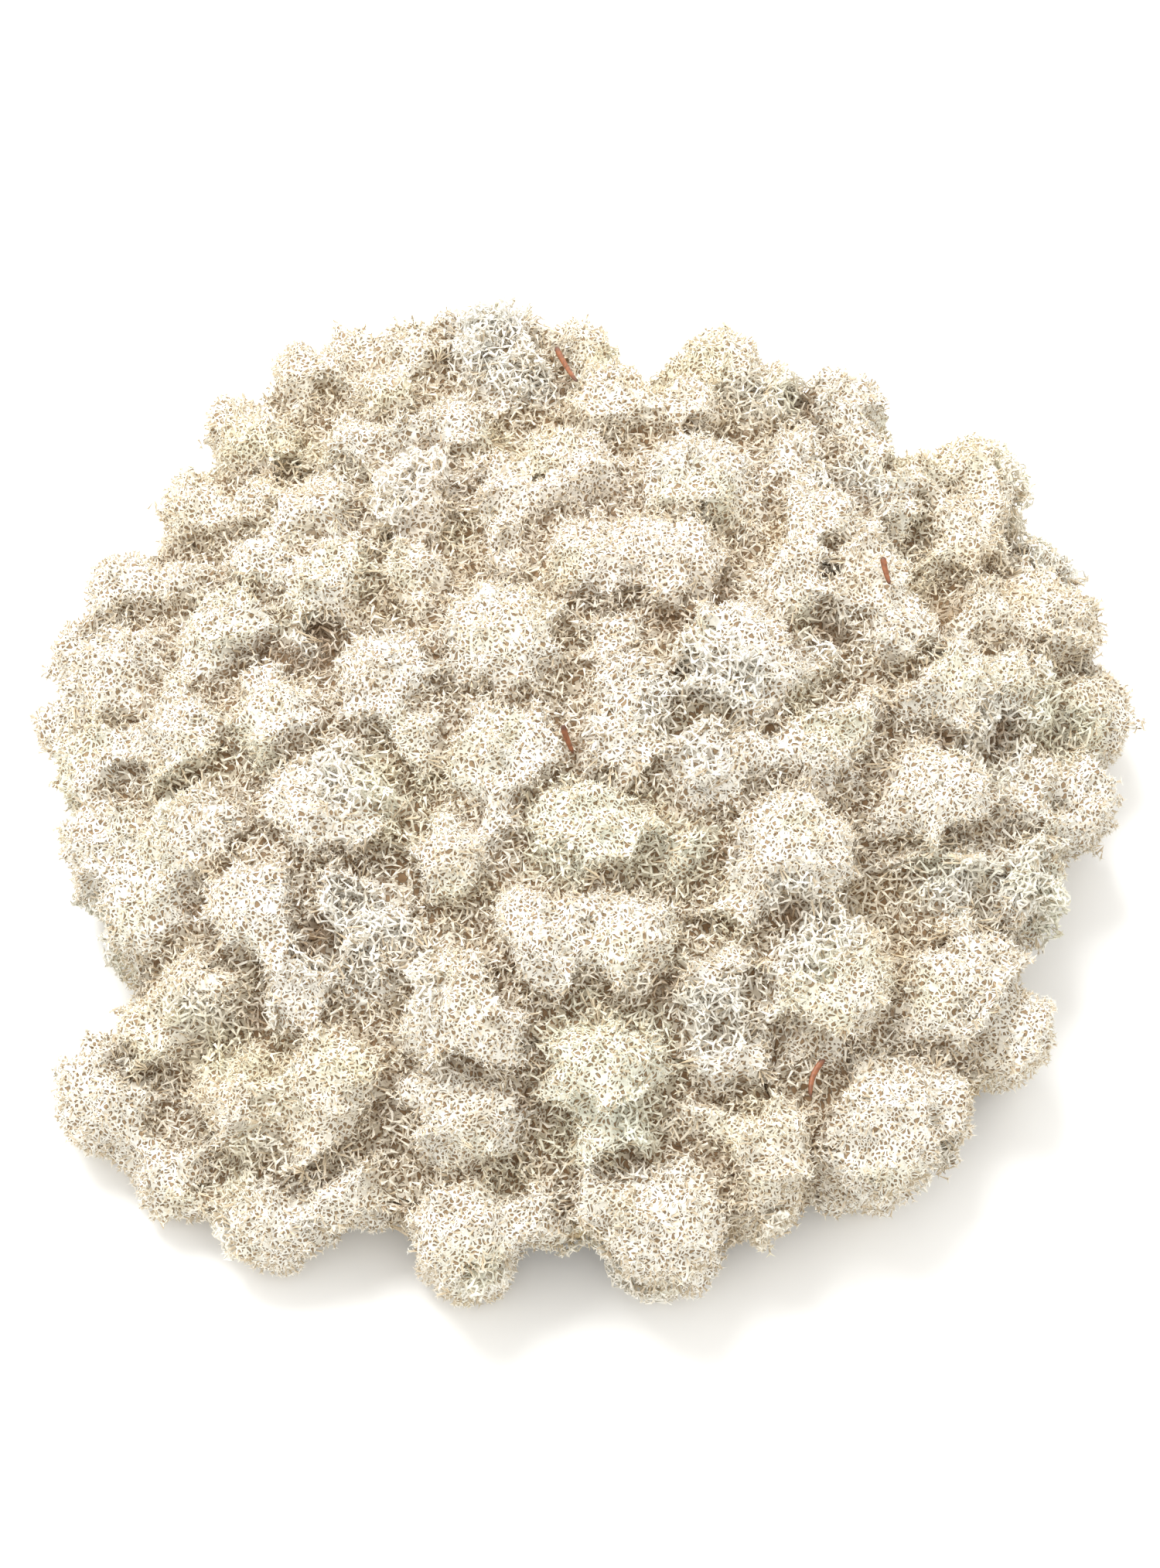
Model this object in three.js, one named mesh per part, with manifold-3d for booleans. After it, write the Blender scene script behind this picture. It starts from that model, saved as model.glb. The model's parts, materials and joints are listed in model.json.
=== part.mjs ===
// A clump of reindeer lichen ("reindeer moss"): a low heap of dry, pale cushions that lean on one another.
// Every cushion is its own solid: a few domes grown from one foot, the skin broken all over into branch tips.
// Stray pine needles lie among the tips.
// Millimetres, +Z up, origin under the middle of the heap on the surface that it lies on.
import * as THREE from "three";
import { ConvexHull } from "three/addons/math/ConvexHull.js";
import { mergeVertices } from "three/addons/utils/BufferGeometryUtils.js";
import Module from "manifold-3d";

// ---- Driving dimensions ----------------------------------------------------------------------------------

const CROWN_HEIGHT = 86; // top of the heap
const RIM_HEIGHT = 30; // top of the cushions round its edge
const HEAP_HALF_WIDTH = 147;
const HEAP_HALF_DEPTH = 154;
const HEAP_MIDDLE_Y = 18; // the crown stands a little behind the middle
const RELIEF = 1.1; // how far a dome that is lifted by 1 on the drawing stands out of the heap
const HEAP_FULLNESS = 0.64; // below 1 the heap is full shouldered, above 1 it is peaked

const CLEARANCE = 0.3; // air between two cushions that lean on each other
const FUSION = 1; // how far two domes of one cushion grow into each other
const TIP_SPACING = 8.3; // from one branch tip to the next
const TIP_RISE = 1.5; // a tip stands this far out of its dome
const TIP_LEAN = 2.6; // how far it may stray sideways
const VALLEY_DEPTH = 2.6; // the skin between the tips lies this far in
const OPEN_TIP_SPACING = 8.6; // an open cushion has fewer branches, with deep holes between them
const OPEN_VALLEY_DEPTH = 7.5;
const SHOULDER = 0.3; // below this slant a dome's hidden stems
const FILL_SIDE = 2; // spread up to this many radii, as far as its neighbours
const HIDDEN_SIDE = 0.97; // and above it they stay within this share of the radius
const LEAST_SHARE = 0.25; // of the way to a neighbour's centre, however big the neighbour
const WAIST = 0.2; // a dome is narrower at the surface by this share of its radius
const FOOT_SHARE = 0.65; // radius of a cushion's foot, as a share of its dome's
const FOOT_SIDES = 5;
const WIDEST_OUTLOOK = THREE.MathUtils.degToRad(75); // from the way that a dome's skin faces
const HIDDEN_APART = THREE.MathUtils.degToRad(28); // between points of the skin where nobody sees it
const LEAST_SINK = 0.8; // a dome's centre is at least this many radii above the surface

const NEEDLE_WIDTH = 1.8; // at its thick end
const NEEDLE_FLATNESS = 0.6; // thickness as a share of the width
const NEEDLE_TAPER = 0.6; // width at the thin end, as a share of the thick end's
const NEEDLE_REST_GAP = 0.3; // from a needle to the tips under it

// The cushions are laid out on a drawing board that faces someone who looks down on the heap.
const BOARD_TILT = THREE.MathUtils.degToRad(63); // how steeply they look down
const BOARD_REACH = 900; // from their eye to the board's middle
const BOARD_MIDDLE_Z = 33;
const SPREAD = 0.93; // how far apart the domes stand, and how much
const SWELL = 1.20; // they crowd one another, beside the drawing

// Each cushion's domes are [across, up, radius] on the board, and the last number lifts them out of the heap.
const CUSHIONS = [
  { shade: "buff", domes: [[-99, 103, 10, 0], [-91, 93, 14, 1]] },
  { shade: "buff", domes: [[-57, 109, 11, -3], [-46, 123, 12, 0], [-65, 122, 10, -1], [-78, 114, 13, 2]] },
  { shade: "grey", domes: [[-35, 100, 12, -1], [-64, 94, 12, -1], [-50, 95, 11, -4]] },
  { shade: "ivory", open: true, domes: [[-28, 130, 12, 6], [-21, 113, 18, 0]] },
  { shade: "buff", domes: [[-2, 121, 13, -1], [9, 106, 15, 2], [29, 104, 14, 2]] },
  { shade: "buff", domes: [[40, 117, 14, 3], [55, 110, 12, 0]] },
  { shade: "grey", domes: [[75, 105, 14, 1], [79, 91, 12, 0], [90, 79, 11, -1]] },
  { shade: "buff", domes: [[113, 83, 16, 2], [108, 67, 16, -1], [96, 86, 9, 0]] },
  { shade: "grey", open: true, domes: [[134, 59, 13, -1]] },
  { shade: "cream", domes: [[69, 71, 15, 2], [65, 56, 14, 1], [62, 89, 15, -2]] },
  { shade: "ivory", domes: [[32, 82, 18, 3], [49, 77, 11, -5]] },
  { shade: "rose", domes: [[-2, 87, 16, 2], [-22, 80, 15, -1], [-22, 64, 12, -5]] },
  { shade: "rose", domes: [[-46, 80, 15, 3], [-51, 57, 14, -1]] },
  { shade: "buff", domes: [[-109, 78, 13, 0], [-90, 77, 13, -2]] },
  { shade: "ivory", domes: [[-73, 77, 13, 1], [-90, 60, 14, 0], [-70, 56, 15, 2]] },
  { shade: "cream", domes: [[-129, 53, 14, 2], [-112, 56, 10, -3]] },
  { shade: "ivory", domes: [[-99, 40, 16, 1], [-110, 28, 13, -4], [-77, 38, 12, -6]] },
  { shade: "cream", domes: [[-129, 27, 18, 2], [-145, 37, 9, 1], [-151, 18, 7, -3]] },
  { shade: "ivory", domes: [[-84, 13, 16, 2], [-92, 26, 13, -3]] },
  { shade: "rose", domes: [[4, 61, 16, 1], [26, 61, 17, 2]] },
  { shade: "cream", domes: [[-22, 38, 18, 5], [-40, 36, 12, -4]] },
  { shade: "cream", domes: [[7, 36, 14, -4], [24, 38, 12, -6]] },
  { shade: "cream", domes: [[79, 55, 16, 3], [90, 40, 15, 2], [82, 33, 10, -6]] },
  { shade: "buff", domes: [[132, 43, 17, 2], [115, 47, 13, -4]] },
  { shade: "grey", domes: [[101, 24, 19, 3], [123, 26, 15, -3]] },
  { shade: "grey", domes: [[143, 20, 16, -3]] },
  { shade: "ivory", domes: [[42, 30, 21, 6], [64, 29, 14, -3]] },
  { shade: "ivory", domes: [[11, 10, 18, 0], [15, 25, 14, 1]] },
  { shade: "ivory", domes: [[-55, 27, 16, 3], [-46, 11, 16, -2]] },
  { shade: "grey", domes: [[-132, 6, 18, -2], [-110, 11, 16, 2]] },
  { shade: "cream", domes: [[-70, -10, 20, 4]] },
  { shade: "ivory", domes: [[-20, 7, 19, 2], [-24, -16, 14, -4], [-35, -22, 13, 0]] },
  { shade: "ivory", domes: [[40, 4, 18, 2], [66, 7, 15, 0], [77, 17, 12, -2]] },
  { shade: "cream", domes: [[101, -6, 18, 1]] },
  { shade: "grey", domes: [[128, -7, 18, -3], [143, -5, 12, 1]] },
  { shade: "grey", domes: [[-132, -18, 16, -2], [-108, -17, 17, 2], [-121, -38, 17, -4]] },
  { shade: "ivory", domes: [[-91, -36, 18, 2], [-81, -60, 14, -3]] },
  { shade: "ivory", open: true, domes: [[-66, -33, 19, -2], [-52, -51, 17, -3]] },
  { shade: "green", domes: [[2, -16, 18, 1], [29, -20, 15, -4]] },
  { shade: "cream", domes: [[59, -21, 18, 6], [46, -38, 15, -3]] },
  { shade: "grey", open: true, domes: [[106, -30, 22, -4], [128, -30, 13, 1]] },
  { shade: "cream", domes: [[-11, -49, 19, 5], [12, -48, 18, 3]] },
  { shade: "buff", domes: [[-106, -59, 14, 0], [-121, -76, 14, -1]] },
  { shade: "cream", domes: [[-30, -65, 20, 6]] },
  { shade: "cream", domes: [[68, -58, 20, 5], [65, -75, 15, -4]] },
  { shade: "cream", domes: [[110, -62, 20, 2], [91, -70, 13, -6], [123, -71, 13, 3]] },
  { shade: "cream", domes: [[36, -58, 17, -1], [42, -80, 16, -4]] },
  { shade: "cream", domes: [[-134, -91, 16, 5], [-113, -98, 11, -6], [-115, -113, 13, -4]] },
  { shade: "buff", domes: [[-70, -85, 16, -3], [-77, -103, 14, -4], [-95, -92, 14, 1]] },
  { shade: "cream", domes: [[-29, -92, 20, -3]] },
  { shade: "green", domes: [[6, -81, 18, 3], [9, -99, 13, -3]] },
  { shade: "cream", domes: [[84, -98, 19, 5], [99, -93, 14, -1]] },
  { shade: "buff", domes: [[40, -98, 14, -5], [54, -103, 15, 2], [52, -117, 12, -2]] },
  { shade: "cream", domes: [[-88, -123, 16, 5], [-70, -117, 12, -4]] },
  { shade: "cream", domes: [[-33, -130, 14, 4], [-10, -122, 10, -7]] },
  { shade: "cream", domes: [[24, -126, 16, 5], [5, -119, 10, -4], [30, -112, 13, -6]] },
];

const SHADES = {
  ivory: 0xe9e3d0,
  cream: 0xe6dcbf,
  buff: 0xdccfb2,
  rose: 0xe2d2bd,
  grey: 0xd6cdb9,
  green: 0xd9dab4,
};

// Stray pieces of pine needle, each from one place to another on the board, with the bow of its middle.
const NEEDLES = [
  { from: [-7, 127], to: [-1, 117], bow: 0.3 },
  { from: [-5, 17], to: [-2, 9], bow: 0.2 },
  { from: [88, 66], to: [90, 58], bow: 0.2 },
  { from: [71, -80], to: [67, -91], bow: 1.2 },
];

// ---- Helpers ----------------------------------------------------------------------------------------------

const wasm = await Module();
wasm.setup();

// Repeatable random numbers from 0 to 1.
function seeded(seed) {
  let state = seed;
  return () => {
    state = (Math.imul(state, 1664525) + 1013904223) >>> 0;
    return state / 2 ** 32;
  };
}

function toSolid(geometry) {
  const bare = new THREE.BufferGeometry();
  bare.setAttribute("position", geometry.getAttribute("position"));
  bare.setIndex(geometry.getIndex());
  const merged = mergeVertices(bare, 1e-4);
  const mesh = new wasm.Mesh({
    numProp: 3,
    vertProperties: merged.attributes.position.array,
    triVerts: new Uint32Array(merged.index.array),
  });
  return new wasm.Manifold(mesh);
}

function toGeometry(solid) {
  const mesh = solid.getMesh();
  const geometry = new THREE.BufferGeometry();
  geometry.setAttribute("position", new THREE.BufferAttribute(mesh.vertProperties, 3));
  geometry.setIndex(new THREE.BufferAttribute(mesh.triVerts, 1));
  geometry.computeVertexNormals();
  return geometry;
}

// Evenly spread unit directions, on a spiral from pole to pole.
function spiralDirections(count, turn) {
  const goldenAngle = Math.PI * (3 - Math.sqrt(5));
  return Array.from({ length: count }, (_, i) => {
    const z = 1 - (2 * i + 1) / count;
    const flat = Math.sqrt(1 - z * z);
    const angle = i * goldenAngle + turn;
    return new THREE.Vector3(flat * Math.cos(angle), flat * Math.sin(angle), z);
  });
}

// ---- The heap: where each dome stands ---------------------------------------------------------------------

function heapTop(x, y) {
  const out = (x / HEAP_HALF_WIDTH) ** 2 + ((y - HEAP_MIDDLE_Y) / HEAP_HALF_DEPTH) ** 2;
  return RIM_HEIGHT + (CROWN_HEIGHT - RIM_HEIGHT) * Math.max(0, 1 - out) ** HEAP_FULLNESS;
}

const boardMiddle = new THREE.Vector3(0, 0, BOARD_MIDDLE_Z);
const boardUp = new THREE.Vector3(0, Math.sin(BOARD_TILT), Math.cos(BOARD_TILT));
const eye = new THREE.Vector3(0, -Math.cos(BOARD_TILT), Math.sin(BOARD_TILT))
  .multiplyScalar(BOARD_REACH)
  .add(boardMiddle);

// The line of sight through a place on the board.
function sightLine(across, up) {
  const onBoard = boardMiddle.clone().addScaledVector(boardUp, up);
  onBoard.x = across;
  return new THREE.Ray(eye, onBoard.sub(eye).normalize());
}

// A dome's centre is on its line of sight, and its top is as high as the heap is there, or stands out of it.
function plantDome([across, up, drawn, rise]) {
  const radius = drawn * SWELL;
  const ray = sightLine(across * SPREAD, up * SPREAD);
  const centre = new THREE.Vector3(0, 0, BOARD_MIDDLE_Z);
  for (let step = 0; step < 40; step++) {
    const wanted = Math.max(heapTop(centre.x, centre.y) - radius + rise * RELIEF, radius * LEAST_SINK);
    const z = (centre.z + wanted) / 2;
    ray.at((z - eye.z) / ray.direction.z, centre);
  }
  return { centre, radius };
}

function plantCushion({ shade, open, domes }, index) {
  return { shade, open, random: seeded(101 + index * 77), lobes: domes.map(plantDome) };
}

// ---- The planes between two cushions ----------------------------------------------------------------------

// The plane through the circle where two domes meet, pushed on by a slack; its normal points from a to b.
function partingPlane(a, b, slack) {
  const normal = b.centre.clone().sub(a.centre);
  const apart = normal.length();
  const meeting = (apart ** 2 + a.radius ** 2 - b.radius ** 2) / (2 * apart);
  const share = THREE.MathUtils.clamp(meeting, apart * LEAST_SHARE, apart * (1 - LEAST_SHARE)) + slack;
  normal.divideScalar(apart);
  return { normal, point: a.centre.clone().addScaledVector(normal, share) };
}

const FLOOR = { normal: new THREE.Vector3(0, 0, -1), point: new THREE.Vector3(0, 0, 0) };

// The room that a dome has among all the others, as planes whose normals point out of it.
function roomOf(lobe, siblings, others) {
  return [
    FLOOR,
    ...siblings.map((other) => partingPlane(lobe, other, FUSION)),
    ...others.map((other) => partingPlane(lobe, other, -CLEARANCE / 2)),
  ];
}

// How far one can go from a centre, up to a limit, before a plane is met.
function freeReach(room, centre, direction, limit) {
  return room.reduce((near, { normal, point }) => {
    const facing = normal.dot(direction);
    return facing > 1e-6 ? Math.min(near, normal.dot(point.clone().sub(centre)) / facing) : near;
  }, limit);
}

// ---- One dome ---------------------------------------------------------------------------------------------

// Ways to look out at one slant, evenly all round.
function outlooks(slantInDegrees, count) {
  const slant = THREE.MathUtils.degToRad(slantInDegrees);
  return Array.from({ length: count }, (_, i) => {
    const turn = ((i + 0.5) / count) * 2 * Math.PI;
    const level = new THREE.Vector3(Math.cos(turn), Math.sin(turn), 0);
    return level.multiplyScalar(Math.cos(slant)).setZ(Math.sin(slant));
  });
}

const LEVEL_OUTLOOKS = outlooks(12, 10);
const ALL_OUTLOOKS = [...LEVEL_OUTLOOKS, ...outlooks(55, 6), ...outlooks(90, 1)];

// A dome is round above its centre, and below it narrows a little down to the surface.
function skinReach({ centre, radius }, direction) {
  const drop = Math.max(0, -direction.z);
  const side = Math.hypot(direction.x, direction.y);
  const waisted = radius / (side + (drop * WAIST * radius) / centre.z);
  return drop > 0 ? Math.min(waisted, centre.z / drop) : radius;
}

// A dome stands in the way with its round head, and with the stems below it.
function hides({ centre, radius }, ray) {
  const away = ray.closestPointToPoint(centre, new THREE.Vector3()).sub(centre);
  const amongStems = away.z < 0 && Math.hypot(away.x, away.y) < radius * (1 - WAIST);
  return amongStems || away.length() < radius;
}

// A place is in the open if one can look out from it past every other dome.
function inTheOpen(point, outward, others, ways) {
  return ways.some((way) => {
    const ray = new THREE.Ray(point, way);
    return way.angleTo(outward) < WIDEST_OUTLOOK && !others.some((other) => hides(other, ray));
  });
}

// Branch tips stand only where the dome's skin is in the open and clear of its neighbours.
function tipDirections(lobe, others, room, spacing, turn) {
  const { centre, radius } = lobe;
  const count = Math.round((4 * Math.PI * radius ** 2) / (spacing ** 2 * Math.sqrt(0.75)));
  return spiralDirections(count, turn).filter((direction) => {
    const reach = skinReach(lobe, direction);
    const point = centre.clone().addScaledVector(direction, reach);
    const outward = direction.clone().setZ(Math.max(0, direction.z)).normalize();
    const clear = point.z > spacing * 0.4 && freeReach(room, centre, direction, reach) === reach;
    return clear && inTheOpen(point, outward, others, ALL_OUTLOOKS);
  });
}

// How far the hidden skin lies from a dome's centre. Low down, its stems fill the space to its neighbours.
function hiddenReach(lobe, others, room, direction) {
  const { centre, radius } = lobe;
  const filled = freeReach(room, centre, direction, radius * FILL_SIDE);
  const point = centre.clone().addScaledVector(direction, filled);
  const shows = direction.z > SHOULDER || inTheOpen(point, direction, others, LEVEL_OUTLOOKS);
  return shows ? Math.min(filled, skinReach(lobe, direction) * HIDDEN_SIDE) : filled;
}

// Where nobody sees the skin a few points do, in the corners of the space first.
function hiddenDirections(lobe, others, room, taken) {
  const chosen = [...taken];
  spiralDirections(90, 1)
    .map((direction) => ({ direction, reach: hiddenReach(lobe, others, room, direction) }))
    .sort((a, b) => b.reach - a.reach)
    .filter(({ direction }) => chosen.every((other) => other.angleTo(direction) > HIDDEN_APART)
      && chosen.push(direction));
  return chosen.slice(taken.length);
}

// The corners of a foot and its middle, on the surface under a dome, as seen from the dome's centre.
function footOffsets({ centre, radius }) {
  const corners = Array.from({ length: FOOT_SIDES }, (_, i) => {
    const angle = (i / FOOT_SIDES) * 2 * Math.PI;
    return new THREE.Vector3(Math.cos(angle), Math.sin(angle), 0).multiplyScalar(radius * FOOT_SHARE);
  });
  return [...corners, new THREE.Vector3()].map((corner) => corner.setZ(-centre.z));
}

// The centres of the domes that it grows into, as seen from its own.
function graftOffsets({ centre, radius }, siblings) {
  return siblings
    .map((other) => other.centre.clone().sub(centre).clampLength(0, other.radius + radius))
    .filter((offset, i) => offset.length() < siblings[i].radius + radius);
}

// The faces that join points all round a centre, as index triples.
function skinFaces(directions) {
  const indexOf = new Map(directions.map((direction, i) => [direction, i]));
  return new ConvexHull().setFromPoints(directions).faces.map((face) => {
    const start = face.edge;
    return [start, start.next, start.prev].map((edge) => indexOf.get(edge.head().point));
  });
}

function domeSolid(lobe, cushion, cushions) {
  const { centre } = lobe;
  const { open, random } = cushion;
  const siblings = cushion.lobes.filter((other) => other !== lobe);
  const strangers = cushions.filter((other) => other !== cushion).flatMap(({ lobes }) => lobes);
  const room = roomOf(lobe, siblings, strangers);
  const others = [...siblings, ...strangers];
  const spacing = open ? OPEN_TIP_SPACING : TIP_SPACING;
  const depth = open ? OPEN_VALLEY_DEPTH : VALLEY_DEPTH;

  const tips = tipDirections(lobe, others, room, spacing, random() * 6);
  const roots = [...graftOffsets(lobe, siblings), ...(lobe === cushion.lobes[0] ? footOffsets(lobe) : [])];
  const rootDirections = roots.map((offset) => offset.clone().normalize());
  const hidden = hiddenDirections(lobe, others, room, [...tips, ...rootDirections]);

  // In the middle of every three tips the skin dips.
  const guide = [...tips, ...hidden, ...rootDirections];
  const valleys = skinFaces(guide)
    .filter((face) => face.every((i) => i < tips.length))
    .map((face) => face.reduce((sum, i) => sum.add(guide[i]), new THREE.Vector3()).normalize());

  // The skin's corners, as seen from the centre.
  const offsets = [...roots];
  const place = (direction, reach) => offsets.push(direction.clone().multiplyScalar(reach));
  const stray = () => (random() - 0.5) * TIP_LEAN;
  tips.forEach((direction) => {
    place(direction, skinReach(lobe, direction) + TIP_RISE * (0.4 + 1.2 * random()));
    offsets.at(-1).add(new THREE.Vector3(stray(), stray(), stray()));
  });
  valleys.forEach((direction) => {
    place(direction, skinReach(lobe, direction) - depth * (0.6 + 0.8 * random()));
  });
  hidden.forEach((direction) => place(direction, hiddenReach(lobe, others, room, direction)));

  const directions = offsets.map((offset) => offset.clone().normalize());
  const corners = offsets.flatMap((offset, i) => {
    const reach = freeReach(room, centre, directions[i], offset.length());
    return centre.clone().addScaledVector(directions[i], reach).toArray();
  });
  const geometry = new THREE.BufferGeometry();
  geometry.setAttribute("position", new THREE.Float32BufferAttribute(corners, 3));
  geometry.setIndex(skinFaces(directions).flat());
  return toSolid(geometry);
}

// ---- One cushion ------------------------------------------------------------------------------------------

function cushionMesh(cushion, index, cushions) {
  const domes = cushion.lobes.map((lobe) => domeSolid(lobe, cushion, cushions));
  const solid = domes.reduce((whole, dome) => whole.add(dome));
  const mesh = new THREE.Mesh(toGeometry(solid), shadeMaterials[cushion.shade]);
  mesh.name = `cushion_${String(index + 1).padStart(2, "0")}`;
  return mesh;
}

// ---- One needle -------------------------------------------------------------------------------------------

// How far down a line of sight the heap's skin lies.
function depthOfSkin(ray, cushionMeshes) {
  const hits = new THREE.Raycaster(ray.origin, ray.direction).intersectObjects(cushionMeshes, false);
  return hits.length ? hits[0].distance : Infinity;
}

function needleMesh({ from, to, bow }, index, cushionMeshes) {
  const [start, end] = [from, to].map(([across, up]) => new THREE.Vector2(across, up).multiplyScalar(SPREAD));
  const along = end.clone().sub(start);
  const sideways = new THREE.Vector2(-along.y, along.x).normalize();

  // The needle lies on whatever stands highest under its width, and slopes as the skin does under its ends.
  const sightAt = (t, side) => {
    const place = start.clone().addScaledVector(along, t).addScaledVector(sideways, side);
    return sightLine(place.x, place.y);
  };
  const sides = [-1, -0.5, 0, 0.5, 1].map((share) => (share * NEEDLE_WIDTH) / 2);
  const skinAt = (t) => Math.min(...sides.map((side) => depthOfSkin(sightAt(t, side), cushionMeshes)));
  const ends = [skinAt(0), skinAt(1)];
  const steps = Array.from({ length: 25 }, (_, i) => i / 24);
  const slack = Math.min(...steps.map((t) => skinAt(t) - THREE.MathUtils.lerp(...ends, t)));
  const lift = (NEEDLE_WIDTH * NEEDLE_FLATNESS) / 2 + NEEDLE_REST_GAP;
  const [tail, tip] = [0, 1].map((t) => sightAt(t, 0).at(ends[t] + slack - lift, new THREE.Vector3()));

  const length = tail.distanceTo(tip);
  const shape = new THREE.CylinderGeometry(NEEDLE_WIDTH * NEEDLE_TAPER / 2, NEEDLE_WIDTH / 2, length, 8, 6);
  shape.scale(1, 1, NEEDLE_FLATNESS);
  const position = shape.attributes.position;
  for (let i = 0; i < position.count; i++) {
    const share = (2 * position.getY(i)) / length;
    position.setX(i, position.getX(i) + bow * (1 - share ** 2));
  }
  const mesh = new THREE.Mesh(toGeometry(toSolid(shape)), needleMaterial);
  mesh.name = `needle_${index + 1}`;
  mesh.position.copy(tail).add(tip).divideScalar(2);
  const axis = tip.clone().sub(tail).normalize();
  const facing = eye.clone().sub(mesh.position).projectOnPlane(axis).normalize();
  const across = new THREE.Vector3().crossVectors(axis, facing);
  mesh.quaternion.setFromRotationMatrix(new THREE.Matrix4().makeBasis(across, axis, facing));
  return mesh;
}

// ---- Build ------------------------------------------------------------------------------------------------

const needleMaterial = new THREE.MeshStandardMaterial({ color: 0x9a5a2c, roughness: 0.6, metalness: 0 });
const shadeMaterials = Object.fromEntries(Object.entries(SHADES).map(([shade, color]) => {
  const material = new THREE.MeshStandardMaterial({ color, roughness: 0.95, metalness: 0 });
  return [shade, material];
}));

const cushionMeshes = CUSHIONS.map(plantCushion).map(cushionMesh);
const needleMeshes = NEEDLES.map((needle, i) => needleMesh(needle, i, cushionMeshes));
const clump = new THREE.Group();
clump.add(...cushionMeshes, ...needleMeshes);

// The origin goes under the middle of the heap.
const middle = new THREE.Box3().setFromObject(clump).getCenter(new THREE.Vector3());
clump.position.set(-middle.x, -middle.y, 0);

export default clump;
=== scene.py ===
"""Dry reindeer lichen: cushions of star-tipped branches and stray pine needles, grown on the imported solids.

Every cushion grows the same way. Points on its smoothed skin are the mouths of small funnels, with a fork at
the bottom of each. Star tufts stand on the skin all round the mouths, each on a stem from the nearest fork.
Where a cushion gapes the mouths are wide, and two nets of strands lie round and under them. A tangle that
carries a finer net in its colour fills the cushion.
"""

import functools
import json
import math

import bmesh
import bpy
import numpy as np
from bpy.props import FloatProperty, FloatVectorProperty, IntProperty, PointerProperty
from bpy.types import NodeSocket, Operator, Panel, PropertyGroup
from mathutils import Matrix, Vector
from mathutils.bvhtree import BVHTree
from mathutils.kdtree import KDTree

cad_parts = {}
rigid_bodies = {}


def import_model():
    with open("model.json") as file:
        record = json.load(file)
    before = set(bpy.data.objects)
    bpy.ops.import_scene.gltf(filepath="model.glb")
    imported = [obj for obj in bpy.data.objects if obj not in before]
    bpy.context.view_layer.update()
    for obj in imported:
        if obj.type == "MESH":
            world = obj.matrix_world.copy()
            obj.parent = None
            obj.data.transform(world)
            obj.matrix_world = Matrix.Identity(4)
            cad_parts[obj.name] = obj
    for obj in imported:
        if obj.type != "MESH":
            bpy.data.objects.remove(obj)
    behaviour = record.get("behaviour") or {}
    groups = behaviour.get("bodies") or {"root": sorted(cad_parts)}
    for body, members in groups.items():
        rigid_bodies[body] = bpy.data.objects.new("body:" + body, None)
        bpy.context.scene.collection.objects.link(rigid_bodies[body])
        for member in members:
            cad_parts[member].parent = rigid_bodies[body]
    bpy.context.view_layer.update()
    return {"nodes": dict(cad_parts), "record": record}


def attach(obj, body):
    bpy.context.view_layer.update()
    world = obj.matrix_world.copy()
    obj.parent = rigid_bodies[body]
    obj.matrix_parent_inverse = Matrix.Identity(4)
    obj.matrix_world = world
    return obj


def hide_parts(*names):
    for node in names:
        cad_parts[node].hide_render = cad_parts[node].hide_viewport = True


bl_info = {
    "name": "Reindeer Lichen",
    "version": (1, 0, 0),
    "blender": (4, 5, 0),
    "location": "View3D > Sidebar > Lichen",
    "description": "Grows reindeer lichen cushions and lays pine needles on them",
    "category": "Add Mesh",
}

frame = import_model()

MM = 0.001
OPEN_CUSHIONS = ("cushion_04", "cushion_09", "cushion_38", "cushion_41")  # opened up: their stems show


# ---- Settings ----


def amount(name, description, default, **more):
    return FloatProperty(name=name, description=description, default=default, min=0, **more)


def length(name, description, millimetres):
    return amount(name, description, millimetres * MM, unit="LENGTH", precision=5)


def share(name, description, default):
    return amount(name, description, default, max=1, subtype="FACTOR")


def colour(name, description, default):
    return FloatVectorProperty(
        name=name, description=description, default=default, size=3, min=0, max=1, subtype="COLOR"
    )


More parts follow.
